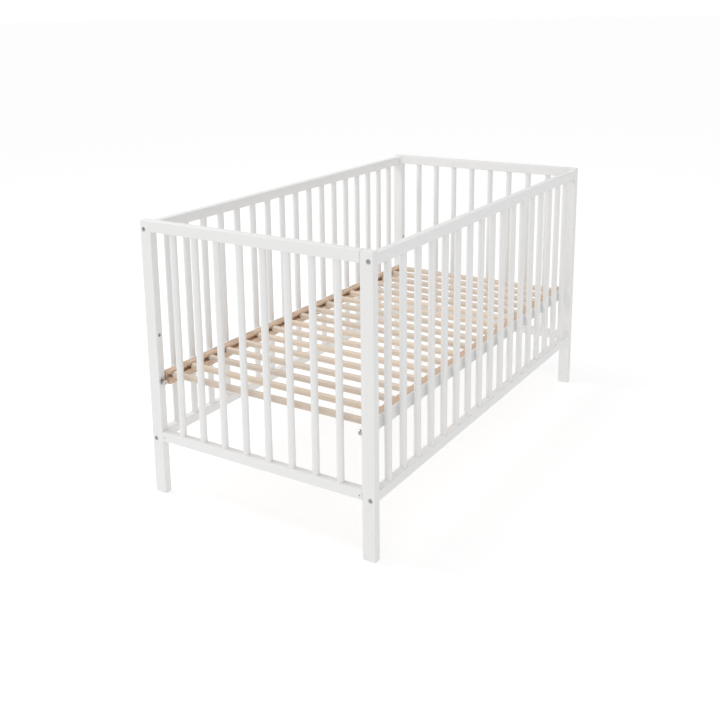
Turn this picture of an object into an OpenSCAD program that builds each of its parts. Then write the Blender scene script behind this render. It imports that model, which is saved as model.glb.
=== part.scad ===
// Baby cot with round bars, bolted corners and a slatted base that hangs at one of two heights.
// X runs along the length, Y across the width and Z up from the floor. The origin is the middle
// of the footprint. The left end is at -X, the right end at +X, the front at -Y, the back at +Y.
// Every module draws its piece for the right end and the back side, and mirrors it from there.

/* [Overall size] */
// Length over the outer faces of the two ends
overall_length = 1454; // [1440:2:1480]
// Width over the outer faces of the posts
overall_width = 760; // [740:2:780]
// Height of the posts and of the top of each end
overall_height = 826; // [800:1:860]

/* [Posts] */
// Size of a post along the length of the cot
post_thickness = 25; // [24:1:26]
// Size of a post across the width of the cot
post_width = 38; // [36:1:38]
// Bevel on the edges of the posts and rails
edge_bevel = 2; // [1:0.5:3]

/* [End frames] */
// Height of the section of an end's top rail
end_top_rail_height = 32; // [30:1:36]
// Height of the section of an end's bottom rail
end_bottom_rail_height = 28; // [26:1:32]
// Underside of an end's bottom rail above the floor
end_bottom_rail_level = 168; // [160:1:175]
// Distance between the middles of two neighbouring bars of an end
end_bar_pitch = 77.2; // [72:0.2:78]

/* [Side frames] */
// Thickness of the side rails
side_rail_thickness = 24; // [22:1:25]
// Distance from the posts' side faces in to the side rails' outer faces
side_rail_setback = 1; // [0.5:0.5:3]
// Height of the section of a side's top rail
side_top_rail_height = 30; // [28:1:32]
// Step from the top of the posts down to the top of the side rails
side_top_rail_step = 8; // [5:1:10]
// Height of the section of a side's bottom rail
side_bottom_rail_height = 28; // [28:1:32]
// Underside of a side's bottom rail above the floor
side_bottom_rail_level = 164; // [162:1:166]
// Number of bars in each side
bars_per_side = 17; // [15:2:17]
// Distance between the middles of two neighbouring bars of a side
side_bar_pitch = 79.4; // [76:0.2:80]

/* [Bars] */
// Diameter of the round bars
bar_diameter = 20; // [18:1:21]
// Depth that each bar is let into its rails
bar_socket_depth = 12; // [10:1:14]

/* [Slatted base] */
// Height of the lower support bolts above the floor
lower_base_level = 348; // [330:1:360]
// Step from the lower to the upper row of threaded holes in the posts
base_level_step = 142; // [120:1:160]
// Distance from the posts' side faces in to the white strips' outer faces
beam_inset = 28; // [27:1:28]
// Size of a beam with its white strip across the width of the cot
beam_width = 27; // [27:1:30]
// Height of a beam
beam_height = 38; // [38:1:40]
// Thickness of the white strip on a beam's outer face
facing_thickness = 3; // [2:1:4]
// Height of the groove along a beam's inner face
groove_height = 12; // [10:1:13]
// Depth of the groove along a beam's inner face
groove_depth = 13; // [11:1:13]
// Height of the thin lip above the groove
lip_height = 7; // [6:1:8]
// Diameter of the round slats
slat_diameter = 20; // [18:1:20]
// Number of slats
slat_count = 18; // [16:1:18]
// Distance between the middles of two neighbouring slats
slat_pitch = 80; // [76:1:80]

/* [Fasteners] */
// Distance from the posts' top down to the upper corner bolts
upper_bolt_drop = 26; // [24:1:28]
// Height of the lower corner bolts above the floor
lower_bolt_level = 172; // [172:1:174]
// Width of the round recess around each corner bolt's head
bolt_recess_diameter = 13; // [12.5:0.5:14]
// Width of the flat round head of each support bolt
support_head_diameter = 16; // [14:1:18]

/* [Hidden] */
$fn = 64;
cut = 1;
fit = 0.2;

// Posts and rails
half_length = overall_length / 2;
half_width = overall_width / 2;
post_inner_x = half_length - post_thickness;
post_inner_y = half_width - post_width;
post_middle_x = half_length - post_thickness / 2;
side_rail_outer_y = half_width - side_rail_setback;
side_rail_middle_y = side_rail_outer_y - side_rail_thickness / 2;
end_top_rail_level = overall_height - end_top_rail_height;
side_top_rail_level = overall_height - side_top_rail_step - side_top_rail_height;
bars_per_end = 8;

// Corner bolts, each with a round nut across the rail and a wooden dowel above it
upper_bolt_level = overall_height - upper_bolt_drop;
corner_bolt_levels = [lower_bolt_level, upper_bolt_level];
bolt_diameter = 6;
bolt_hole_diameter = 7;
bolt_length = 60;
bolt_recess_depth = 5;
bolt_head_diameter = 12;
bolt_head_height = 4;
hex_key = 5;
hex_depth = 2.5;
nut_diameter = 10;
nut_length = 14;
nut_distance = 30;
corner_dowel_diameter = 8;
corner_dowel_levels = [lower_bolt_level + 12, upper_bolt_level + 11];
corner_dowel_post_depth = 12;
corner_dowel_rail_depth = 18;

// Dowels that join the end rails to the posts, the lower ones locked by a pin
end_dowel_diameter = 10;
end_dowel_levels = [end_bottom_rail_level + 11, end_top_rail_level + end_top_rail_height / 2];
end_dowel_post_depth = 18;
end_dowel_rail_depth = 20;
pin_diameter = 4;
pin_length = 16;
pin_distance = 8;
pin_recess = 2.5;

// Threaded inserts in the posts and the support bolts in the lower ones
base_levels = [lower_base_level, lower_base_level + base_level_step];
insert_diameter = 10;
insert_length = 15;
support_thread_length = 13;
support_shoulder_diameter = 10;
support_shoulder_length = 9;
support_head_height = 4;
support_hex_key = 6;

// Slatted base
beam_half_length = post_inner_x - 2;
beam_outer_y = half_width - beam_inset;
beam_inner_y = beam_outer_y - beam_width;
beam_bottom = lower_base_level - 10;
beam_top = beam_bottom + beam_height;
beam_wood_y = beam_outer_y - facing_thickness;
groove_end_y = beam_inner_y + groove_depth;
slat_level = beam_top - lip_height - groove_height / 2;
lip_bevel = 1.5;
slat_shoulder_y = beam_inner_y - fit;
slat_end_y = groove_end_y - 1;
slat_end_diameter = groove_height - 2 * fit;

// Steel hooks that hang the base on the support bolts. Each is let into a saw cut in the underside
// of a beam and held by two screws from the beam's outer side, behind the white strip.
hook_thickness = 2.5;
hook_radius = 11;
hook_middle = lower_base_level + 3;
hook_slot_diameter = support_shoulder_diameter + 3 * fit;
hook_y = groove_end_y;
hook_reach = 40;
hook_tongue_bottom = beam_bottom + 3;
hook_tongue_height = 14;
saw_cut_height = hook_tongue_bottom + hook_tongue_height - beam_bottom + fit;
hook_screw_level = hook_tongue_bottom + hook_tongue_height / 2;
hook_screw_distances = [8, 32];
screw_head_diameter = 6.2;
screw_head_height = 1.8;
screw_shank_diameter = 3.5;
screw_length = 18;

paint = "#f2f2f0";
beech = "#e3cdb4";
beam_wood = "#d8ab86";
nickel = "#b9bab6";
zinc = "#8e8f8c";
dark_steel = "#3c3c3c";

// Placing and repeating

module at_end(end) mirror([end == "left" ? 1 : 0, 0, 0]) children();

module at_side(side) mirror([0, side == "front" ? 1 : 0, 0]) children();

module at_each_corner() {
    for (end = ["left", "right"], side = ["front", "back"])
        at_end(end) at_side(side) children();
}

// Basic shapes

module rod_x(from, to, y, z, diameter)
    translate([from, y, z]) rotate([0, 90, 0]) cylinder(h = to - from, d = diameter);

module rod_y(from, to, x, z, diameter)
    translate([x, to, z]) rotate([90, 0, 0]) cylinder(h = to - from, d = diameter);

module rod_z(from, to, x, y, diameter)
    translate([x, y, from]) cylinder(h = to - from, d = diameter);

module hexagon(across_flats) circle(d = across_flats / cos(30), $fn = 6);

module bevelled_rectangle(width, height) {
    a = width / 2;
    b = height / 2;
    polygon([
        [-a + edge_bevel, -b], [a - edge_bevel, -b], [a, -b + edge_bevel], [a, b - edge_bevel],
        [a - edge_bevel, b], [-a + edge_bevel, b], [-a, b - edge_bevel], [-a, -b + edge_bevel]
    ]);
}

module bevelled_block(x, y, z) {
    intersection() {
        linear_extrude(height = z, center = true) bevelled_rectangle(x, y);
        rotate([90, 0, 0]) linear_extrude(height = y, center = true) bevelled_rectangle(x, z);
        rotate([90, 0, 90]) linear_extrude(height = x, center = true) bevelled_rectangle(y, z);
    }
}

// Wooden frame

module corner_post(end, side) {
    color(paint) at_end(end) at_side(side) difference() {
        translate([post_middle_x, half_width - post_width / 2, overall_height / 2])
            bevelled_block(post_thickness, post_width, overall_height);
        for (z = corner_bolt_levels) {
            rod_x(post_inner_x - cut, half_length + cut, side_rail_middle_y, z, bolt_hole_diameter);
            rod_x(half_length - bolt_recess_depth, half_length + cut, side_rail_middle_y, z,
                bolt_recess_diameter);
        }
        for (z = corner_dowel_levels)
            rod_x(post_inner_x - cut, post_inner_x + corner_dowel_post_depth, side_rail_middle_y, z,
                corner_dowel_diameter + fit);
        for (z = base_levels)
            rod_y(post_inner_y - cut, post_inner_y + insert_length + cut, post_middle_x, z,
                insert_diameter + fit);
        for (z = end_dowel_levels)
            rod_y(post_inner_y - cut, post_inner_y + end_dowel_post_depth, post_middle_x, z,
                end_dowel_diameter + fit);
    }
}

module end_rail(end, level, height, dowel_level, sockets_from) {
    color(paint) at_end(end) difference() {
        translate([post_middle_x, 0, level + height / 2]) rotate([90, 0, 0])
            linear_extrude(height = 2 * post_inner_y, center = true)
                bevelled_rectangle(post_thickness, height);
        for (i = [1 : bars_per_end])
            rod_z(sockets_from, sockets_from + bar_socket_depth + cut,
                post_middle_x, end_bar_y(i), bar_diameter + fit);
        for (side = ["front", "back"])
            at_side(side) rod_y(post_inner_y - end_dowel_rail_depth, post_inner_y + cut,
                post_middle_x, dowel_level, end_dowel_diameter + fit);
        if (dowel_level == end_dowel_levels[0])
            for (side = ["front", "back"])
                at_side(side) rod_x(half_length - pin_recess - pin_length, half_length + cut,
                    post_inner_y - pin_distance, dowel_level, pin_diameter + fit);
    }
}

module end_top_rail(end)
    end_rail(end, end_top_rail_level, end_top_rail_height, end_dowel_levels[1],
        end_top_rail_level - cut);

module end_bottom_rail(end)
    end_rail(end, end_bottom_rail_level, end_bottom_rail_height, end_dowel_levels[0],
        end_bottom_rail_level + end_bottom_rail_height - bar_socket_depth);

function end_bar_y(i) = (i - (bars_per_end + 1) / 2) * end_bar_pitch;

module end_bar(end, i) {
    color(paint) at_end(end)
        rod_z(end_bottom_rail_level + end_bottom_rail_height - bar_socket_depth,
            end_top_rail_level + bar_socket_depth, post_middle_x, end_bar_y(i), bar_diameter);
}

module side_rail(side, level, height, bolt_level, dowel_level, sockets_from) {
    color(paint) at_side(side) difference() {
        translate([0, side_rail_middle_y, level + height / 2]) rotate([90, 0, 90])
            linear_extrude(height = 2 * post_inner_x, center = true)
                bevelled_rectangle(side_rail_thickness, height);
        for (i = [1 : bars_per_side])
            rod_z(sockets_from, sockets_from + bar_socket_depth + cut,
                side_bar_x(i), side_rail_middle_y, bar_diameter + fit);
        for (end = ["left", "right"])
            at_end(end) {
                rod_x(half_length - bolt_recess_depth - bolt_length - 3, post_inner_x + cut,
                    side_rail_middle_y, bolt_level, bolt_hole_diameter);
                rod_z(level - cut, bolt_level + nut_length / 2 + cut,
                    post_inner_x - nut_distance, side_rail_middle_y, nut_diameter + fit);
                rod_x(post_inner_x - corner_dowel_rail_depth, post_inner_x + cut,
                    side_rail_middle_y, dowel_level, corner_dowel_diameter + fit);
            }
    }
}

module side_top_rail(side)
    side_rail(side, side_top_rail_level, side_top_rail_height, upper_bolt_level,
        corner_dowel_levels[1], side_top_rail_level - cut);

module side_bottom_rail(side)
    side_rail(side, side_bottom_rail_level, side_bottom_rail_height, lower_bolt_level,
        corner_dowel_levels[0],
        side_bottom_rail_level + side_bottom_rail_height - bar_socket_depth);

function side_bar_x(i) = (i - (bars_per_side + 1) / 2) * side_bar_pitch;

module side_bars(side) {
    color(paint) at_side(side)
        for (i = [1 : bars_per_side])
            rod_z(side_bottom_rail_level + side_bottom_rail_height - bar_socket_depth,
                side_top_rail_level + bar_socket_depth, side_bar_x(i), side_rail_middle_y,
                bar_diameter);
}

// Frame fasteners

module corner_bolts() {
    seat = half_length - bolt_recess_depth;
    color(nickel) at_each_corner() for (z = corner_bolt_levels) difference() {
        union() {
            rod_x(seat - bolt_length, seat, side_rail_middle_y, z, bolt_diameter);
            rod_x(seat, seat + bolt_head_height, side_rail_middle_y, z, bolt_head_diameter);
        }
        translate([seat + bolt_head_height - hex_depth, side_rail_middle_y, z]) rotate([0, 90, 0])
            linear_extrude(height = hex_depth + cut) hexagon(hex_key);
    }
}

module corner_nuts() {
    x = post_inner_x - nut_distance;
    color(zinc) at_each_corner() for (z = corner_bolt_levels) difference() {
        rod_z(z - nut_length / 2, z + nut_length / 2, x, side_rail_middle_y, nut_diameter);
        rod_x(x - nut_diameter, x + nut_diameter, side_rail_middle_y, z, bolt_diameter + fit);
        translate([x, side_rail_middle_y, z - nut_length / 2])
            cube([nut_diameter + cut, 1.2, 2], center = true);
    }
}

module corner_dowels() {
    color(beech) at_each_corner() for (z = corner_dowel_levels)
        rod_x(post_inner_x - corner_dowel_rail_depth, post_inner_x + corner_dowel_post_depth,
            side_rail_middle_y, z, corner_dowel_diameter);
}

module end_rail_dowels() {
    color(beech) at_each_corner() for (z = end_dowel_levels) difference() {
        rod_y(post_inner_y - end_dowel_rail_depth, post_inner_y + end_dowel_post_depth,
            post_middle_x, z, end_dowel_diameter);
        if (z == end_dowel_levels[0])
            rod_x(post_inner_x, half_length, post_inner_y - pin_distance, z, pin_diameter + fit);
    }
}

module end_rail_pins() {
    color(dark_steel) at_each_corner()
        rod_x(half_length - pin_recess - pin_length, half_length - pin_recess,
            post_inner_y - pin_distance, end_dowel_levels[0], pin_diameter);
}

module post_inserts() {
    color(zinc) at_each_corner() for (z = base_levels) difference() {
        rod_y(post_inner_y, post_inner_y + insert_length, post_middle_x, z, insert_diameter);
        rod_y(post_inner_y - cut, post_inner_y + insert_length + cut, post_middle_x, z,
            bolt_diameter + fit);
    }
}

module support_bolts() {
    head_y = post_inner_y - support_shoulder_length - support_head_height;
    color(nickel) at_each_corner() difference() {
        union() {
            rod_y(post_inner_y, post_inner_y + support_thread_length, post_middle_x,
                lower_base_level, bolt_diameter);
            rod_y(post_inner_y - support_shoulder_length, post_inner_y, post_middle_x,
                lower_base_level, support_shoulder_diameter);
            rod_y(head_y, post_inner_y - support_shoulder_length, post_middle_x,
                lower_base_level, support_head_diameter);
        }
        translate([post_middle_x, head_y + hex_depth, lower_base_level])
            rotate([90, 0, 0]) linear_extrude(height = hex_depth + cut) hexagon(support_hex_key);
    }
}

// Slatted base

module base_beam(side) {
    color(beam_wood) at_side(side) difference() {
        rotate([90, 0, 90]) linear_extrude(height = 2 * beam_half_length, center = true)
            beam_profile();
        for (end = ["left", "right"])
            at_end(end) {
                translate([beam_half_length - hook_reach - 1, hook_y - fit / 2, beam_bottom - cut])
                    cube([hook_reach + 1 + cut, hook_thickness + fit, saw_cut_height + cut]);
                for (distance = hook_screw_distances)
                    screw_shape(beam_half_length - distance, fit);
            }
    }
}

// Section with a groove in the inner face: a thin lip above the groove and a deep ledge below it.
module beam_profile() {
    groove_bottom = slat_level - groove_height / 2;
    groove_top = slat_level + groove_height / 2;
    polygon([
        [beam_inner_y + lip_bevel, beam_bottom], [beam_wood_y, beam_bottom],
        [beam_wood_y, beam_top],
        [beam_inner_y + lip_bevel, beam_top], [beam_inner_y, beam_top - lip_bevel],
        [beam_inner_y, groove_top], [groove_end_y, groove_top],
        [groove_end_y, groove_bottom], [beam_inner_y, groove_bottom],
        [beam_inner_y, beam_bottom + lip_bevel]
    ]);
}

module base_facing(side) {
    color(paint) at_side(side) translate([-beam_half_length, beam_wood_y, beam_bottom])
        cube([2 * beam_half_length, facing_thickness, beam_height]);
}

// Round slats whose ends are turned down to fit the beams' grooves.
module base_slats() {
    color(beech) for (i = [1 : slat_count]) {
        x = (i - (slat_count + 1) / 2) * slat_pitch;
        rod_y(-slat_shoulder_y, slat_shoulder_y, x, slat_level, slat_diameter);
        rod_y(-slat_end_y, slat_end_y, x, slat_level, slat_end_diameter);
    }
}

// Flat steel plate with a tongue inside the beam: past the beam's end it turns down
// on both sides of a slot that is open at the bottom.
module base_hooks() {
    color(nickel) at_each_corner() difference() {
        translate([0, hook_y + hook_thickness, 0]) rotate([90, 0, 0])
            linear_extrude(height = hook_thickness) difference() {
                union() {
                    translate([post_middle_x, hook_middle]) circle(r = hook_radius);
                    translate([beam_half_length - hook_reach, hook_tongue_bottom])
                        square([post_middle_x - beam_half_length + hook_reach, hook_tongue_height]);
                }
                translate([post_middle_x, lower_base_level]) circle(d = hook_slot_diameter);
                translate([post_middle_x - hook_slot_diameter / 2, lower_base_level - 2 * hook_radius])
                    square([hook_slot_diameter, 2 * hook_radius]);
            }
        for (distance = hook_screw_distances)
            screw_shape(beam_half_length - distance, fit);
    }
}

module screw_shape(x, play) {
    rod_y(beam_wood_y - screw_length - play, beam_wood_y, x, hook_screw_level,
        screw_shank_diameter + play);
    rod_y(beam_wood_y - screw_head_height - play, beam_wood_y + (play > 0 ? cut : 0), x,
        hook_screw_level, screw_head_diameter + play);
}

module base_hook_screws() {
    color(zinc) at_each_corner() for (distance = hook_screw_distances)
        screw_shape(beam_half_length - distance, 0);
}

corner_post("left", "front");  // left_front_post
corner_post("left", "back");  // left_back_post
corner_post("right", "front");  // right_front_post
corner_post("right", "back");  // right_back_post
end_top_rail("left");  // left_end_top_rail
end_bottom_rail("left");  // left_end_bottom_rail
end_top_rail("right");  // right_end_top_rail
end_bottom_rail("right");  // right_end_bottom_rail
end_bar("left", 1);  // left_end_bar_1
end_bar("left", 2);  // left_end_bar_2
end_bar("left", 3);  // left_end_bar_3
end_bar("left", 4);  // left_end_bar_4
end_bar("left", 5);  // left_end_bar_5
end_bar("left", 6);  // left_end_bar_6
end_bar("left", 7);  // left_end_bar_7
end_bar("left", 8);  // left_end_bar_8
end_bar("right", 1);  // right_end_bar_1
end_bar("right", 2);  // right_end_bar_2
end_bar("right", 3);  // right_end_bar_3
end_bar("right", 4);  // right_end_bar_4
end_bar("right", 5);  // right_end_bar_5
end_bar("right", 6);  // right_end_bar_6
end_bar("right", 7);  // right_end_bar_7
end_bar("right", 8);  // right_end_bar_8
side_top_rail("front");  // front_top_rail
side_bottom_rail("front");  // front_bottom_rail
side_top_rail("back");  // back_top_rail
side_bottom_rail("back");  // back_bottom_rail
side_bars("front");  // front_bars
side_bars("back");  // back_bars
corner_bolts();
corner_nuts();
corner_dowels();
end_rail_dowels();
end_rail_pins();
post_inserts();
support_bolts();
base_beam("front");  // base_front_beam
base_beam("back");  // base_back_beam
base_facing("front");  // base_front_facing
base_facing("back");  // base_back_facing
base_slats();
base_hooks();
base_hook_screws();
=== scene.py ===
import math
import random

import bmesh
import bpy
from mathutils import Matrix, Vector


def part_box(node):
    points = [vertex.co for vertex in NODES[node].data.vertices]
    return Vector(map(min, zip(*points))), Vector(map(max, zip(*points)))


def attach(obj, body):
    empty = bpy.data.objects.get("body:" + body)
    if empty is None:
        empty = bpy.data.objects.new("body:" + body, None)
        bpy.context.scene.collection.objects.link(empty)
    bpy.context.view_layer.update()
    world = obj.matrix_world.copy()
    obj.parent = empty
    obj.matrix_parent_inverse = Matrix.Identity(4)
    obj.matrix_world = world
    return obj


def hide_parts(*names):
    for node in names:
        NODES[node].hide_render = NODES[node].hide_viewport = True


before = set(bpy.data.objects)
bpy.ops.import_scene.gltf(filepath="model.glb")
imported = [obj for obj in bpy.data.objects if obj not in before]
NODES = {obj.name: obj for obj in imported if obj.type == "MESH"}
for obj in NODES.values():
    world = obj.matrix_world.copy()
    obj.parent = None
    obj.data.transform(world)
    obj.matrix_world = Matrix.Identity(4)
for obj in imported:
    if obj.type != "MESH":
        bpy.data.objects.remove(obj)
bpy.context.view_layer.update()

MM = 0.001
random.seed(7)


# Camera

CAMERA_SPOT = (-2.607, -1.514, 1.375)
CAMERA_TURN, CAMERA_TILT, CAMERA_ROLL = -58.119, -12.724, -0.602

camera = bpy.data.objects.new("camera", bpy.data.cameras.new("camera"))
bpy.context.scene.collection.objects.link(camera)
bpy.context.scene.camera = camera
camera.data.lens = 47.52
camera.data.shift_y = -0.18
camera.data.clip_start = 0.05
camera.matrix_world = (
    Matrix.Translation(CAMERA_SPOT)
    @ Matrix.Rotation(math.radians(CAMERA_TURN), 4, "Z")
    @ Matrix.Rotation(math.radians(90 + CAMERA_TILT), 4, "X")
    @ Matrix.Rotation(math.radians(CAMERA_ROLL), 4, "Z")
)


# Materials

class Graph:
    """A material and short ways to add its nodes."""

    def __init__(self, name):
        self.material = bpy.data.materials.new(name)
        self.material.use_nodes = True
        self.tree = self.material.node_tree
        self.shader = self.tree.nodes["Principled BSDF"]

    def join(self, value, socket):
        """Links the value when it is a socket, and sets it when it is a plain one."""
        if isinstance(value, bpy.types.NodeSocket):
            self.tree.links.new(value, socket)
        else:
            socket.default_value = value

    def add(self, kind, inputs, output=0, **settings):
        node = self.tree.nodes.new("ShaderNode" + kind)
        for key, value in settings.items():
            setattr(node, key, value)
        for key, value in inputs.items():
            self.join(value, node.inputs[key])
        return node.outputs[output]

    def attribute(self, name):
        return self.add("Attribute", {}, 2, attribute_name=name)

    def math(self, operation, a, b):
        return self.add("Math", {0: a, 1: b}, operation=operation)

    def spread(self, value, from_low, from_high, low, high):
        return self.add("MapRange", {0: value, 1: from_low, 2: from_high, 3: low, 4: high})

    def blend(self, factor, a, b):
        return self.add("Mix", {0: factor, 6: a, 7: b}, 2, data_type="RGBA")

    def place(self, scale):
        """Object coordinates, stretched by scale and moved by each stick's own tone."""
        spot = self.add("TexCoord", {}, "Object")
        move = self.add("VectorMath", {0: (7.3, 3.1, 5.7), 3: self.attribute("tone")}, operation="SCALE")
        spot = self.add("VectorMath", {0: spot, 1: move}, operation="ADD")
        return self.add("VectorMath", {0: spot, 1: scale}, operation="MULTIPLY")

    def noise(self, scale, detail=4.0, roughness=0.55, distortion=0.0):
        return self.add("TexNoise", {"Vector": self.place(scale), "Scale": 1.0, "Detail": detail,
                                     "Roughness": roughness, "Distortion": distortion})

    def bump(self, layers):
        """Bumps laid over each other, each as (height, strength, distance)."""
        normal = None
        for height, strength, distance in layers:
            inputs = {"Height": height, "Strength": strength, "Distance": distance}
            if normal:
                inputs["Normal"] = normal
            normal = self.add("Bump", inputs)
        self.join(normal, self.shader.inputs["Normal"])


def along(axis, length_scale, cross_scale):
    """A scale that draws a texture out along one axis."""
    return tuple(length_scale if a == axis else cross_scale for a in "xyz")


def painted_wood(axis):
    """White satin lacquer that lets a little of the grain show, thinner on the edges."""
    g = Graph("white_lacquer_" + axis)
    grain = g.noise(along(axis, 5.0, 300.0), 6.0, 0.6, 0.3)
    cloud = g.noise((7.0, 7.0, 7.0), 3.0)
    peel = g.noise((1100.0, 1100.0, 1100.0), 2.0)
    wear = g.noise((120.0, 120.0, 120.0), 5.0, 0.7)
    tone = g.attribute("tone")
    colour = g.blend(cloud, (0.825, 0.826, 0.824, 1), (0.850, 0.850, 0.843, 1))
    colour = g.blend(g.spread(grain, 0.45, 0.8, 0.0, 0.10), colour, (0.76, 0.745, 0.72, 1))
    colour = g.blend(g.spread(tone, 0.0, 1.0, 0.0, 0.12), colour, (0.81, 0.795, 0.765, 1))
    thin = g.math("MULTIPLY", g.attribute("edge"), g.spread(wear, 0.5, 0.75, 0.04, 0.6))
    colour = g.blend(thin, colour, (0.72, 0.68, 0.61, 1))
    g.join(colour, g.shader.inputs["Base Color"])
    sheen = g.noise(along(axis, 20.0, 120.0), 4.0)
    g.join(g.spread(sheen, 0.25, 0.75, 0.34, 0.48), g.shader.inputs["Roughness"])
    g.join(0.45, g.shader.inputs["Specular IOR Level"])
    g.bump([(grain, 0.10, 0.0003), (peel, 0.06, 0.0001)])
    return g.material


def natural_wood(name, axis, pale, warm, dark, finish=(0.42, 0.62), lacquer=0.0):
    """Bare or clear-lacquered wood: growth rings, long fibres and the short dark flecks of beech.
    Some sticks are yellower than others."""
    g = Graph(name)
    bend = g.noise(along(axis, 1.6, 9.0), 3.0, 0.5)
    rings = g.add("TexWave", {"Vector": g.place(along(axis, 0.9, 34.0)), "Scale": 2.2, "Distortion": 4.5,
                              "Detail": 3.0, "Detail Scale": 1.3}, 1, wave_type="RINGS",
                  rings_direction=axis.upper(), wave_profile="SAW")
    fibre = g.noise(along(axis, 9.0, 620.0), 5.0, 0.6, 0.2)
    flecks = g.noise(along(axis, 70.0, 900.0), 3.0, 0.6)
    pores = g.noise(along(axis, 26.0, 1500.0), 2.0)
    colour = g.blend(g.spread(bend, 0.25, 0.75, 0.0, 1.0), pale, warm)
    yellow = tuple(c * k for c, k in zip(pale, (1.03, 0.97, 0.84, 1)))
    colour = g.blend(g.spread(g.attribute("tone"), 0.0, 1.0, 0.15, 0.6), colour, yellow)
    colour = g.blend(g.spread(rings, 0.55, 1.0, 0.0, 0.34), colour, dark)
    colour = g.blend(g.spread(fibre, 0.42, 0.74, 0.0, 0.4), colour, dark)
    colour = g.blend(g.spread(flecks, 0.62, 0.74, 0.0, 0.5), colour, dark)
    shade = g.spread(g.attribute("tone"), 0.0, 1.0, 0.93, 1.06)
    colour = g.add("VectorMath", {0: colour, 3: shade}, operation="SCALE")
    # Lighter along the rounded edges, in patches that follow the fibre.
    lighter_edge = g.math("MULTIPLY", g.attribute("edge"), g.spread(fibre, 0.35, 0.7, 0.15, 0.55))
    colour = g.blend(lighter_edge, colour, tuple(1.08 * c for c in pale[:3]) + (1,))
    g.join(colour, g.shader.inputs["Base Color"])
    g.join(g.spread(fibre, 0.3, 0.75, *finish), g.shader.inputs["Roughness"])
    g.join(0.4, g.shader.inputs["Specular IOR Level"])
    g.join(lacquer, g.shader.inputs["Coat Weight"])
    g.join(0.28, g.shader.inputs["Coat Roughness"])
    g.bump([(fibre, 0.35, 0.0003), (pores, 0.3, 0.0002), (rings, 0.08, 0.0003)])
    return g.material


def plated_steel(name, colour, dull, rough):
    """Plated steel: fine turning marks, small scratches and cloudy patches where it was handled."""
    g = Graph(name)
    cloud = g.noise((240.0, 240.0, 240.0), 4.0, 0.6)
    grit = g.noise((2600.0, 2600.0, 2600.0), 3.0)
    cells = g.add("TexVoronoi", {"Vector": g.place((900.0, 900.0, 900.0)), "Scale": 1.0})
    tint = g.blend(g.spread(cloud, 0.3, 0.7, 0.0, 1.0), colour, dull)
    tint = g.blend(g.spread(cells, 0.0, 0.9, 0.0, 0.18), tint, dull)
    g.join(tint, g.shader.inputs["Base Color"])
    g.join(1.0, g.shader.inputs["Metallic"])
    g.join(g.spread(cloud, 0.25, 0.75, rough - 0.07, rough + 0.1), g.shader.inputs["Roughness"])
    g.bump([(grit, 0.16, 0.0001), (cloud, 0.1, 0.0002)])
    return g.material


PAINT = {axis: painted_wood(axis) for axis in "xyz"}
BEAM_WOOD = natural_wood("beam_wood", "x", (0.72, 0.53, 0.39, 1), (0.64, 0.44, 0.30, 1),
                         (0.42, 0.25, 0.14, 1), lacquer=0.8)
SLAT_WOOD = natural_wood("slat_wood", "y", (0.76, 0.67, 0.595, 1), (0.70, 0.60, 0.515, 1),
                         (0.52, 0.41, 0.33, 1), finish=(0.36, 0.52))
DOWEL_WOOD = natural_wood("dowel_wood", "x", (0.72, 0.56, 0.40, 1), (0.66, 0.50, 0.35, 1),
                          (0.48, 0.34, 0.22, 1), finish=(0.55, 0.75))
NICKEL = plated_steel("nickel_steel", (0.70, 0.68, 0.64, 1), (0.55, 0.53, 0.50, 1), 0.27)
# Nickel painted darker for the corner bolts: a painted reflection, standing in for the dim surroundings their
# flat heads reflect.
DIM_REFLECTION_NICKEL = plated_steel("nickel_steel_painted_dim_reflection", (0.52, 0.51, 0.49, 1), (0.37, 0.36, 0.35, 1), 0.30)
ZINC = plated_steel("zinc_steel", (0.62, 0.64, 0.66, 1), (0.46, 0.47, 0.48, 1), 0.36)
# Near-black steel for the end rail pins: painted shade, standing in for the shade inside their small holes.
PIN_SHADE_STEEL = plated_steel("dark_steel", (0.14, 0.14, 0.14, 1), (0.08, 0.08, 0.08, 1), 0.42)


# Mesh helpers

SHARP_ANGLE = math.radians(38)


def solids(node):
    """The separate solids of a CAD node, as (lowest corner, highest corner), in order of X, Y and Z."""
    bm = bmesh.new()
    bm.from_mesh(NODES[node].data)
    bmesh.ops.remove_doubles(bm, verts=bm.verts, dist=1e-6)
    left, found = set(bm.verts), []
    while left:
        stack, island = [left.pop()], []
        while stack:
            v = stack.pop()
            island.append(v.co)
            for e in v.link_edges:
                other = e.other_vert(v)
                if other in left:
                    left.remove(other)
                    stack.append(other)
        found.append((Vector(min(c[i] for c in island) for i in range(3)),
                      Vector(max(c[i] for c in island) for i in range(3))))
    bm.free()
    return sorted(found, key=lambda s: tuple(round(c, 4) for c in s[0]))


def aim(point, direction):
    """The matrix that puts local +Z along a direction at a point."""
    turn = Vector(direction).to_track_quat("Z", "Y").to_matrix().to_4x4()
    return Matrix.Translation(point) @ turn


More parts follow.
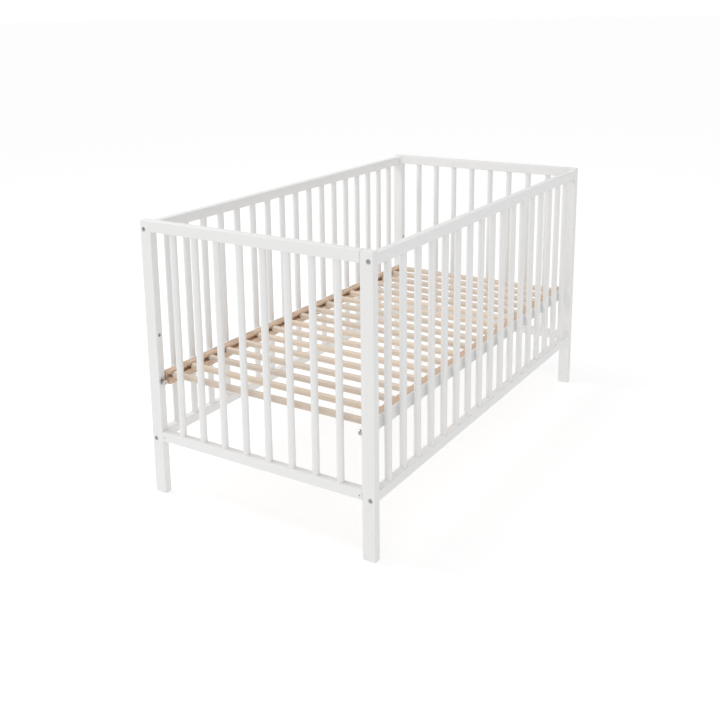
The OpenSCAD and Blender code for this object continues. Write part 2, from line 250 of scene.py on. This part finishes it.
class Piece:
    """The mesh of one visible piece. Its vertices carry two numbers that the materials read:
    tone, different for every stick of wood, and edge, 1 on a rounded edge and 0 elsewhere."""

    def __init__(self):
        self.bm = bmesh.new()
        self.tone = self.bm.verts.layers.float.new("tone")
        self.edge = self.bm.verts.layers.float.new("edge")

    def mark(self, verts, tone, edge=0.0):
        for v in verts:
            v[self.tone], v[self.edge] = tone, edge

    def turned(self, place, profile, tone=0.5, steps=48, closed=False):
        """A lathe-turned solid. profile holds (height, radius, outline), in mm, where outline is o
        for round, h for a hexagon and x for a cross. The end rings are capped, or joined to each
        other when closed."""
        def reach(outline, radius, angle):
            if outline == "h":
                return radius / math.cos((angle + math.pi / 6) % (math.pi / 3) - math.pi / 6)
            if outline == "x":
                a = abs((angle + math.pi / 4) % (math.pi / 2) - math.pi / 4)
                return min(radius / math.cos(a), radius * 0.3 / max(math.sin(a), 1e-6))
            return radius
        rings = []
        for height, radius, outline in profile:
            ring = []
            for k in range(steps):
                a = 2 * math.pi * (k + 0.5) / steps
                r = reach(outline, radius, a) * MM
                spot = Vector((r * math.cos(a), r * math.sin(a), height * MM))
                ring.append(self.bm.verts.new(place @ spot))
            self.mark(ring, tone)
            rings.append(ring)
        pairs = list(zip(rings, rings[1:])) + ([(rings[-1], rings[0])] if closed else [])
        for low, high in pairs:
            for k in range(steps):
                j = (k + 1) % steps
                self.bm.faces.new((low[k], low[j], high[j], high[k]))
        if not closed:
            self.bm.faces.new(rings[0][::-1])
            self.bm.faces.new(rings[-1])

    def prism(self, outline, place, length, radius, tone=0.5, segments=4, keep=lambda edge: True):
        """A straight solid with the given outline in local X and Y. Its outer edges are rounded,
        except those that keep says no to."""
        before = set(self.bm.verts)
        low = [self.bm.verts.new(place @ Vector((x, y, 0))) for x, y in outline]
        high = [self.bm.verts.new(place @ Vector((x, y, length))) for x, y in outline]
        count = len(outline)
        faces = [self.bm.faces.new(low[::-1]), self.bm.faces.new(high)]
        for k in range(count):
            j = (k + 1) % count
            faces.append(self.bm.faces.new((low[k], low[j], high[j], high[k])))
        bmesh.ops.recalc_face_normals(self.bm, faces=faces)
        edges = {e for f in faces for e in f.edges}
        sharp = [e for e in edges if e.is_convex and e.calc_face_angle() > 0.6 and keep(e)]
        flat = [f.normal.copy() for f in (faces if set(faces[1].edges) & set(sharp) else faces[2:])]
        bmesh.ops.bevel(self.bm, geom=sharp, offset=radius, segments=segments, profile=0.5,
                        affect="EDGES", clamp_overlap=True)
        made = [v for v in self.bm.verts if v not in before]
        self.bm.normal_update()
        self.mark(made, tone)
        for v in made:
            if not any(f.normal.dot(n) > 0.995 for f in v.link_faces for n in flat):
                v[self.edge] = 1.0

    def board(self, low, high, radius, tone=0.5):
        """A straight rectangular member between two corners, its edges rounded."""
        size = Vector(high) - Vector(low)
        outline = [(0, 0), (size.x, 0), (size.x, size.y), (0, size.y)]
        self.prism(outline, Matrix.Translation(low), size.z, radius, tone)

    def finish(self, name, body, slot, material, nodes, cutters=None):
        """Makes the object, cuts the holes, and lets it stand for its CAD nodes."""
        obj = self.raw(name)
        obj.data.materials.append(material)
        if cutters:
            tool = cutters.raw(name + "_cut")
            cut = obj.modifiers.new("holes", "BOOLEAN")
            cut.operation, cut.solver, cut.object = "DIFFERENCE", "EXACT", tool
            graph = bpy.context.evaluated_depsgraph_get()
            obj.data = bpy.data.meshes.new_from_object(obj.evaluated_get(graph))
            obj.modifiers.clear()
            bpy.data.objects.remove(tool)
        obj.data.shade_smooth()
        obj.data.set_sharp_from_angle(angle=SHARP_ANGLE)
        even = obj.modifiers.new("even_normals", "WEIGHTED_NORMAL")
        even.keep_sharp = True
        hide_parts(*nodes)
        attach(obj, body)

    def raw(self, name):
        """Makes a plain object of the mesh."""
        bmesh.ops.recalc_face_normals(self.bm, faces=self.bm.faces)
        mesh = bpy.data.meshes.new(name)
        self.bm.to_mesh(mesh)
        self.bm.free()
        obj = bpy.data.objects.new(name, mesh)
        bpy.context.scene.collection.objects.link(obj)
        return obj


def hole(cutters, mouth, inward, radius, depth, lip=0.4):
    """A round blind hole with a softened rim. mouth is on the face, sizes are in mm."""
    cutters.turned(aim(mouth, inward), [(-2, radius + lip + 2, "o"), (0, radius + lip, "o"),
                                        (lip * 0.4, radius + lip * 0.3, "o"), (lip * 1.4, radius, "o"),
                                        (depth, radius, "o")])


def sign(value):
    return -1 if value < 0 else 1


def middle(low, high):
    return (Vector(low) + Vector(high)) / 2


# Frame: posts and rails

EDGE = 2.2 * MM

# Radius and depth of the holes, in mm, the last one with its softened rim
BOLT_RECESS = (6.5, 5)
INSERT_HOLE = (5.1, 16)
PIN_HOLE = (2.1, 19, 0.3)
NUT_BORE_RADIUS = 5.1
NUT_BORE_PAST_MIDDLE = 8

BOLTS = solids("corner_bolts")
INSERTS = solids("post_inserts")
NUTS = solids("corner_nuts")
PINS = solids("end_rail_pins")

for name in ("left_front_post", "left_back_post", "right_front_post", "right_back_post"):
    low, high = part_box(name)
    end, side = sign(low[0]), sign(low[1])
    post, cuts = Piece(), Piece()
    post.board(low, high, EDGE, random.random())
    outer = high[0] if end > 0 else low[0]
    inner = low[1] if side > 0 else high[1]
    for a, b in BOLTS:
        spot = middle(a, b)
        if sign(spot.x) == end and sign(spot.y) == side:
            hole(cuts, (outer, spot.y, spot.z), (-end, 0, 0), *BOLT_RECESS)
    for a, b in INSERTS:
        spot = middle(a, b)
        if sign(spot.x) == end and sign(spot.y) == side:
            hole(cuts, (spot.x, inner, spot.z), (0, side, 0), *INSERT_HOLE)
    post.finish(name + "_wood", "frame", "white_paint", PAINT["z"], [name], cuts)


def rail_wood(name, axis):
    """The wood of a rail along an axis: long edges rounded, ends square where they meet the posts."""
    low, high = (Vector(corner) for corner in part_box(name))
    size = high - low
    across, up = (axis + 1) % 3, (axis + 2) % 3
    turn = Matrix([[float(i == j) for j in (across, up, axis)] for i in range(3)]).to_4x4()
    wood = Piece()
    wood.prism([(0, 0), (size[across], 0), (size[across], size[up]), (0, size[up])],
               Matrix.Translation(low) @ turn, size[axis], EDGE, random.random(),
               keep=lambda e: abs((e.verts[0].co - e.verts[1].co)[axis]) > 0.1)
    return wood


for end_name, end in (("left", -1), ("right", 1)):
    for level in ("top", "bottom"):
        name = f"{end_name}_end_{level}_rail"
        rail, cuts = rail_wood(name, 1), None
        if level == "bottom":
            cuts = Piece()
            outer = max(abs(corner[0]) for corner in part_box(name))
            for a, b in PINS:
                spot = middle(a, b)
                if sign(spot.x) == end:
                    hole(cuts, (end * outer, spot.y, spot.z), (-end, 0, 0), *PIN_HOLE)
        rail.finish(name + "_wood", "frame", "white_paint", PAINT["y"], [name], cuts)

for side_name, side in (("front", -1), ("back", 1)):
    for level in ("top", "bottom"):
        name = f"{side_name}_{level}_rail"
        low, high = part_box(name)
        rail, cuts = rail_wood(name, 0), Piece()
        for a, b in NUTS:
            spot = middle(a, b)
            if sign(spot.y) == side and low[2] < spot.z < high[2]:
                hole(cuts, (spot.x, spot.y, low[2]), (0, 0, 1), NUT_BORE_RADIUS,
                     (spot.z - low[2]) / MM + NUT_BORE_PAST_MIDDLE)
        rail.finish(name + "_wood", "frame", "white_paint", PAINT["x"], [name], cuts)


# Frame: bars

BARS_PER_END = 8
BAR_STEPS = 40


def bar(piece, low, high, bottom, top, tone):
    """A round bar with a thin fillet of lacquer where it enters each rail."""
    spot = middle(low, high)
    r = (high[0] - low[0]) / 2 / MM
    length = (high[2] - low[2]) / MM

    def half(depth):
        return [(0.0, r - 0.8, "o"), (0.8, r, "o"), (depth - 0.2, r + 0.9, "o"), (depth + 0.15, r + 0.5, "o"),
                (depth + 0.5, r + 0.18, "o"), (depth + 1.1, r, "o")]

    profile = half((bottom - low[2]) / MM)
    profile += [(length - h, q, o) for h, q, o in reversed(half((high[2] - top) / MM))]
    piece.turned(Matrix.Translation((spot.x, spot.y, low[2])), profile, tone, BAR_STEPS)


for end_name in ("left", "right"):
    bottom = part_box(f"{end_name}_end_bottom_rail")[1][2]
    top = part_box(f"{end_name}_end_top_rail")[0][2]
    for i in range(BARS_PER_END):
        name = f"{end_name}_end_bar_{i + 1}"
        stick = Piece()
        bar(stick, *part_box(name), bottom, top, random.random())
        stick.finish(name + "_wood", "frame", "white_paint", PAINT["z"], [name])

for side_name in ("front", "back"):
    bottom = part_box(f"{side_name}_bottom_rail")[1][2]
    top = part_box(f"{side_name}_top_rail")[0][2]
    sticks = Piece()
    for low, high in solids(f"{side_name}_bars"):
        bar(sticks, low, high, bottom, top, random.random())
    sticks.finish(f"{side_name}_bars_wood", "frame", "white_paint", PAINT["z"], [f"{side_name}_bars"])


# Frame: fasteners

bolts = Piece()
for low, high in BOLTS:
    spot, end = middle(low, high), sign(low[0])
    length = (high[0] - low[0]) / MM
    bolts.turned(aim((high[0] if end > 0 else low[0], spot.y, spot.z), (end, 0, 0)), [
        (-3.0, 0.3, "o"), (-2.5, 2.5, "h"), (-0.35, 2.5, "h"), (0.0, 2.85, "h"), (0.0, 4.9, "o"),
        (-0.3, 5.6, "o"), (-0.9, 6.0, "o"), (-3.8, 6.0, "o"), (-4.0, 5.8, "o"), (-4.0, 3.2, "o"),
        (-4.3, 3.0, "o"), (1.0 - length, 3.0, "o"), (-length, 2.3, "o")], random.random())
# The corner bolts take the darker nickel, a painted dim reflection.
bolts.finish("corner_bolts_steel", "frame", "nickel_steel", DIM_REFLECTION_NICKEL, ["corner_bolts"])

supports = Piece()
for low, high in solids("support_bolts"):
    spot, side = middle(low, high), sign(low[1])
    length = (high[1] - low[1]) / MM
    supports.turned(aim((spot.x, low[1] if side > 0 else high[1], spot.z), (0, -side, 0)), [
        (-2.9, 0.3, "o"), (-2.4, 3.0, "h"), (-0.4, 3.0, "h"), (0.0, 3.4, "h"), (0.0, 6.8, "o"),
        (-0.25, 7.5, "o"), (-0.9, 8.0, "o"), (-3.7, 8.0, "o"), (-4.0, 7.7, "o"), (-4.0, 5.0, "o"),
        (-12.8, 5.0, "o"), (-13.0, 4.8, "o"), (-13.0, 3.0, "o"), (1.0 - length, 3.0, "o"),
        (-length, 2.4, "o")], random.random())
supports.finish("support_bolts_steel", "frame", "nickel_steel", NICKEL, ["support_bolts"])

inserts = Piece()
for low, high in INSERTS:
    spot, side = middle(low, high), sign(low[1])
    length = (high[1] - low[1]) / MM
    thread = [(-1.0 - k * 0.5, 3.1 if k % 2 else 3.35, "o") for k in range(int(2 * (length - 2)))]
    inserts.turned(aim((spot.x, low[1] if side > 0 else high[1], spot.z), (0, -side, 0)),
                   [(-0.3, 4.95, "o"), (0.0, 4.6, "o"), (0.0, 3.7, "o"), (-0.5, 3.3, "o")] + thread
                   + [(-length, 3.3, "o"), (-length, 4.9, "o")], random.random(), 40, closed=True)
inserts.finish("post_inserts_steel", "frame", "zinc_steel", ZINC, ["post_inserts"])


# Base

# Sizes and gaps of the beams, slats and hooks, in mm
BEAM_EDGE = 1.3
FACING_EDGE = 0.5
GROOVE = 12.0
SAW_CUT = 17.2
SAW_CUT_PLAY = 0.1
SLAT_END_GAP = 1
SHOULDER_GAP = 0.2
SCREW_HOLE_RADIUS = 1.85
SCREW_HEAD_HOLE = (3.2, 2.0)
SCREW_RIM = 0.1
HOOK_TONGUE = (3, 17)
HOOK_RADIUS = 11
HOOK_SLOT_RADIUS = 5.3
HOOK_SLOT_DROP = 3
HOOK_CORNER = 3
HOOK_EDGE = 0.35

SLAT_LOW, SLAT_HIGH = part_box("base_slats")
HOOKS = solids("base_hooks")
SCREWS = solids("base_hook_screws")
BEAM_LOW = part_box("base_back_beam")[0]

for side_name, side in (("front", -1), ("back", 1)):
    low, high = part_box(f"base_{side_name}_beam")
    inner, outer = sorted((abs(low[1]), abs(high[1])))
    level = (SLAT_HIGH[2] + SLAT_LOW[2]) / 2
    groove_low, groove_high = level - GROOVE / 2 * MM, level + GROOVE / 2 * MM
    web = SLAT_HIGH[1] + SLAT_END_GAP * MM
    outline = [(inner, low[2]), (outer, low[2]), (outer, high[2]), (inner, high[2]), (inner, groove_high),
               (web, groove_high), (web, groove_low), (inner, groove_low)]
    beam, cuts = Piece(), Piece()
    turn = Matrix(((0, 0, 1), (side, 0, 0), (0, 1, 0))).to_4x4()
    beam.prism(outline, Matrix.Translation((low[0], 0, 0)) @ turn, high[0] - low[0],
               BEAM_EDGE * MM, random.random(), 3)
    for a, b in HOOKS:
        if sign(a[1]) == side:
            end = sign(a[0])
            x1, x2 = min(abs(a[0]), abs(b[0])) - 1 * MM, high[0] + 2 * MM
            y1, y2 = a[1] - SAW_CUT_PLAY * MM, b[1] + SAW_CUT_PLAY * MM
            cuts.prism([(x1, y1), (x2, y1), (x2, y2), (x1, y2)],
                       Matrix.Diagonal((end, 1, 1, 1)) @ Matrix.Translation((0, 0, low[2] - 2 * MM)),
                       (SAW_CUT + 2) * MM, 0.01 * MM, 0.5, 1)
    for a, b in SCREWS:
        spot = middle(a, b)
        if sign(spot.y) == side:
            mouth = (spot.x, side * outer, spot.z)
            hole(cuts, mouth, (0, -side, 0), SCREW_HOLE_RADIUS, (b[1] - a[1]) / MM + 0.2, SCREW_RIM)
            hole(cuts, mouth, (0, -side, 0), *SCREW_HEAD_HOLE, SCREW_RIM)
    name = f"base_{side_name}_beam"
    beam.finish(name + "_wood", "base", "beam_wood", BEAM_WOOD, [name], cuts)
    facing = Piece()
    name = f"base_{side_name}_facing"
    facing.board(*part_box(name), FACING_EDGE * MM, random.random())
    facing.finish(name + "_wood", "base", "white_paint", PAINT["x"], [name])

slats = Piece()
for low, high in solids("base_slats"):
    spot, length, r = middle(low, high), (high[1] - low[1]) / MM, (high[2] - low[2]) / 2 / MM
    neck = (high[1] - BEAM_LOW[1]) / MM + SHOULDER_GAP
    thin = GROOVE / 2 - SHOULDER_GAP
    half = [(0.0, thin - 0.8), (0.8, thin), (neck - 0.3, thin), (neck, thin + 0.4), (neck, r - 1.3),
            (neck + 0.4, r - 0.4), (neck + 1.4, r)]
    slats.turned(aim((spot.x, low[1], spot.z), (0, 1, 0)),
                 [(h, q, "o") for h, q in half] + [(length - h, q, "o") for h, q in half[::-1]],
                 random.random(), BAR_STEPS)
slats.finish("base_slats_wood", "base", "slat_wood", SLAT_WOOD, ["base_slats"])


def arc(x, z, radius, start, stop, steps):
    """Points along a part of a circle, from one angle to another."""
    turns = [start + (stop - start) * k / steps for k in range(steps + 1)]
    return [(x + radius * math.cos(t), z + radius * math.sin(t)) for t in turns]


hooks = Piece()
for low, high in HOOKS:
    end = sign(low[0])
    root, tip = sorted((abs(low[0]), abs(high[0])))
    r, slot_r, corner = HOOK_RADIUS * MM, HOOK_SLOT_RADIUS * MM, HOOK_CORNER * MM
    x, z = tip - r, high[2] - r
    tongue_low, tongue_high = (BEAM_LOW[2] + t * MM for t in HOOK_TONGUE)
    shape = arc(root + corner, tongue_high - corner, corner, math.pi / 2, math.pi, 5)
    shape += arc(root + corner, tongue_low + corner, corner, math.pi, 1.5 * math.pi, 5)
    shape += [(x - slot_r, tongue_low)] + arc(x, z - HOOK_SLOT_DROP * MM, slot_r, math.pi, 0, 20)
    shape += arc(x, z, r, -math.acos(slot_r / r), math.pi - math.asin((tongue_high - z) / r), 30)
    turn = Matrix(((end, 0, 0), (0, 0, 1), (0, 1, 0))).to_4x4()
    hooks.prism(shape, Matrix.Translation((0, low[1], 0)) @ turn, high[1] - low[1],
                HOOK_EDGE * MM, random.random(), 2)
hooks.finish("base_hooks_steel", "base", "nickel_steel", NICKEL, ["base_hooks"])

screws = Piece()
for low, high in SCREWS:
    spot, side = middle(low, high), sign(low[1])
    length = (high[1] - low[1]) / MM
    screws.turned(aim((spot.x, high[1] if side > 0 else low[1], spot.z), (0, side, 0)), [
        (-1.5, 0.3, "x"), (-1.2, 1.5, "x"), (-0.1, 1.8, "x"), (0.0, 2.0, "o"), (-0.25, 2.6, "o"),
        (-0.8, 3.0, "o"), (-1.5, 3.1, "o"), (-1.8, 2.95, "o"), (-1.8, 1.75, "o"), (2.0 - length, 1.75, "o"),
        (-length, 0.4, "o")], random.random())
screws.finish("base_hook_screws_steel", "base", "zinc_steel", ZINC, ["base_hook_screws"])


# CAD nodes that stay, hidden in the wood or seen only as small ends

# The end rail pins take the near-black steel, painted shade for the dark dots of their holes.
for name, material in (("corner_nuts", ZINC), ("end_rail_pins", PIN_SHADE_STEEL), ("corner_dowels", DOWEL_WOOD),
                       ("end_rail_dowels", DOWEL_WOOD)):
    obj = NODES[name]
    obj.data.materials.clear()
    obj.data.materials.append(material)


# Floor, world and lights

def floor():
    """A pale floor that reaches far past the camera's view."""
    mesh = bpy.data.meshes.new("floor")
    far = 400.0
    corners = [(-far, -far, 0), (far, -far, 0), (far, far, 0), (-far, far, 0)]
    mesh.from_pydata(corners, [], [(0, 1, 2, 3)])
    obj = bpy.data.objects.new("floor", mesh)
    bpy.context.scene.collection.objects.link(obj)
    g = Graph("floor")
    g.join((0.50, 0.50, 0.50, 1), g.shader.inputs["Base Color"])
    g.join((1, 1, 1, 1), g.shader.inputs["Emission Color"])
    g.join(0.56, g.shader.inputs["Emission Strength"])
    g.join(0.9, g.shader.inputs["Roughness"])
    g.join(0.1, g.shader.inputs["Specular IOR Level"])
    mesh.materials.append(g.material)


def lamp(name, spot, target, size, power):
    """A round soft light that the camera doesn't see."""
    data = bpy.data.lights.new(name, "AREA")
    data.shape, data.size, data.energy = "DISK", size, power
    obj = bpy.data.objects.new(name, data)
    bpy.context.scene.collection.objects.link(obj)
    obj.location = spot
    obj.rotation_mode = "QUATERNION"
    obj.rotation_quaternion = (Vector(target) - Vector(spot)).to_track_quat("-Z", "Y")
    obj.visible_camera = False


def studio():
    """A white room, brightest above and behind the camera."""
    world = bpy.data.worlds.new("studio")
    bpy.context.scene.world = world
    world.use_nodes = True
    tree = world.node_tree

    def node(kind, operation, *values):
        made = tree.nodes.new("ShaderNode" + kind)
        if operation:
            made.operation = operation
        for socket, value in zip(made.inputs, values):
            if isinstance(value, bpy.types.NodeSocket):
                tree.links.new(value, socket)
            elif value is not None:
                socket.default_value = value
        return made.outputs

    spot = node("TexCoord", None)["Generated"]
    level = 0.22
    # Each ramp: a direction, the dot products where it starts and ends, and the strength it adds
    ramps = (((-0.86, -0.51, 0.0), 0.0, 0.9, 0.43),
             ((0.35, -0.94, 0.0), 0.0, 0.9, -0.10),
             ((0.0, 0.0, 1.0), 0.1, 1.0, 0.86))
    for way, low, high, amount in ramps:
        toward = node("VectorMath", "DOT_PRODUCT", spot, way)["Value"]
        ramp = node("MapRange", None, toward, low, high, 0.0, amount)[0]
        level = node("Math", "ADD", ramp, level)[0]
    seen = node("LightPath", None)["Is Camera Ray"]
    level = node("MapRange", None, seen, 0.0, 1.0, level, 1.05)[0]
    tree.links.new(level, tree.nodes["Background"].inputs["Strength"])
    tree.nodes["Background"].inputs["Color"].default_value = (1, 1, 1, 1)


floor()
studio()
lamp("far", (-1.0, 2.6, 3.4), (0, 0, 0.5), 2.2, 56)
bpy.context.scene.view_settings.view_transform = "Standard"
